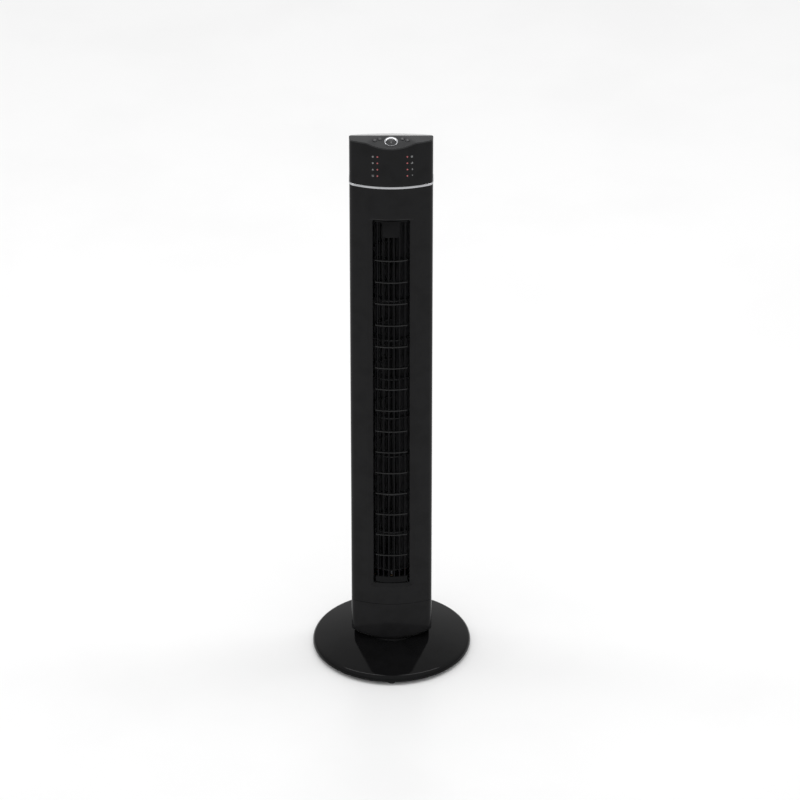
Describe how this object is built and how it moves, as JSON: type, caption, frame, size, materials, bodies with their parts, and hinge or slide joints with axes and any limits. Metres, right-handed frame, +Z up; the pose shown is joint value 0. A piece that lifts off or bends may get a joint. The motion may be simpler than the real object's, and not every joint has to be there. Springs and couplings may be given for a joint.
{
  "type": "tower fan",
  "caption": "Tall upright cross-flow fan: glossy D-section column with a barred front outlet, swinging on a round domed base.",
  "frame": {"origin": "on the floor under the middle of the round base, on the column's swing axis", "axes": "+Z up, -Y out of the air outlet, +X to the right seen from the front"},
  "size_m": [0.274, 0.274, 0.9992],
  "materials": {
    "gloss_black": "high gloss",
    "grille_black": "satin moulded",
    "matte_black": "fine texture",
    "console_grey": "satin",
    "key_black": "satin",
    "chrome": "bright plated",
    "steel": "zinc plated",
    "weight_steel": "pressed",
    "motor_alloy": "cast",
    "laminations": "stacked sheet",
    "copper": "enamelled copper wire",
    "bronze": "sintered",
    "rubber": "moulded",
    "white_plastic": "natural nylon",
    "inner_black": "moulded",
    "board_green": "solder resist",
    "led_red": "diffused red"
  },
  "bodies": {
    "base": {"base_disc": "gloss_black", "base_weight": "weight_steel", "bottom_cover": "matte_black", "rubber_feet": "rubber", "cover_screws": "steel", "swivel_plate": "matte_black", "plate_screws": "steel", "slide_ring": "white_plastic", "swing_arm": "steel", "spindle_nut": "steel"},
    "column": {"foot_housing": "gloss_black", "chassis_deck": "inner_black", "deck_screws": "steel", "front_shell": "gloss_black", "rear_shell": "gloss_black", "shell_screws": "steel", "intake_grille": "matte_black", "intake_filter": "matte_black", "outlet_grille": "grille_black", "rear_guide": "inner_black", "vortex_tongue": "inner_black", "motor_lower_cap": "motor_alloy", "motor_upper_cap": "motor_alloy", "stator_core": "laminations", "stator_windings": "copper", "motor_bushes": "bronze", "motor_screws": "steel", "swing_motor": "steel", "cord_gland": "rubber", "upper_bearing_plate": "inner_black", "bearing_mount": "rubber", "bearing_bush": "bronze", "power_board": "board_green", "run_capacitor": "white_plastic", "handle_cup": "matte_black", "trim_ring": "chrome", "head_deck": "inner_black", "head_front": "gloss_black", "head_rear": "gloss_black", "control_panel": "console_grey", "button_ring": "chrome", "display_board": "board_green", "red_leds": "led_red", "control_board": "board_green", "tact_switches": "key_black"},
    "impeller": {"impeller_wheel": "inner_black", "motor_rotor": "laminations", "motor_shaft": "steel", "drive_hub": "inner_black", "stub_shaft": "steel"},
    "swing_crank": {"swing_crank": "white_plastic"},
    "power_button": {"power_button": "console_grey"},
    "timer_button": {"timer_button": "key_black"},
    "mode_button": {"mode_button": "key_black"},
    "speed_button": {"speed_button": "key_black"},
    "swing_button": {"swing_button": "key_black"}
  },
  "joints": [
    {"name": "column_swing", "type": "hinge", "parent": "base", "child": "column", "pos_m": [0, 0, 0.036], "axis": [0, 0, 1], "range_deg": [-35, 35]},
    {"name": "impeller_spin", "type": "hinge", "parent": "column", "child": "impeller", "pos_m": [0, 0.01, 0.5], "axis": [0, 0, 1], "continuous": true},
    {"name": "crank_turn", "type": "hinge", "parent": "column", "child": "swing_crank", "pos_m": [0, 0.03, 0.05], "axis": [0, 0, 1], "range_deg": [-125.1, 125.1]},
    {"name": "power_press", "type": "slide", "parent": "column", "child": "power_button", "axis": [0, 0.2588, -0.9659], "range_m": [0, 0.0012], "stiffness_N_per_m": 400},
    {"name": "timer_press", "type": "slide", "parent": "column", "child": "timer_button", "axis": [-0.225, 0.2522, -0.9412], "range_m": [0, 0.0012], "stiffness_N_per_m": 400},
    {"name": "mode_press", "type": "slide", "parent": "column", "child": "mode_button", "axis": [-0.1542, 0.2557, -0.9544], "range_m": [0, 0.0012], "stiffness_N_per_m": 400},
    {"name": "speed_press", "type": "slide", "parent": "column", "child": "speed_button", "axis": [0.1542, 0.2557, -0.9544], "range_m": [0, 0.0012], "stiffness_N_per_m": 400},
    {"name": "swing_press", "type": "slide", "parent": "column", "child": "swing_button", "axis": [0.225, 0.2522, -0.9412], "range_m": [0, 0.0012], "stiffness_N_per_m": 400}
  ],
  "couplings": [
    {"joint": "crank_turn", "follows": "column_swing", "ratio": 3.5714}
  ]
}
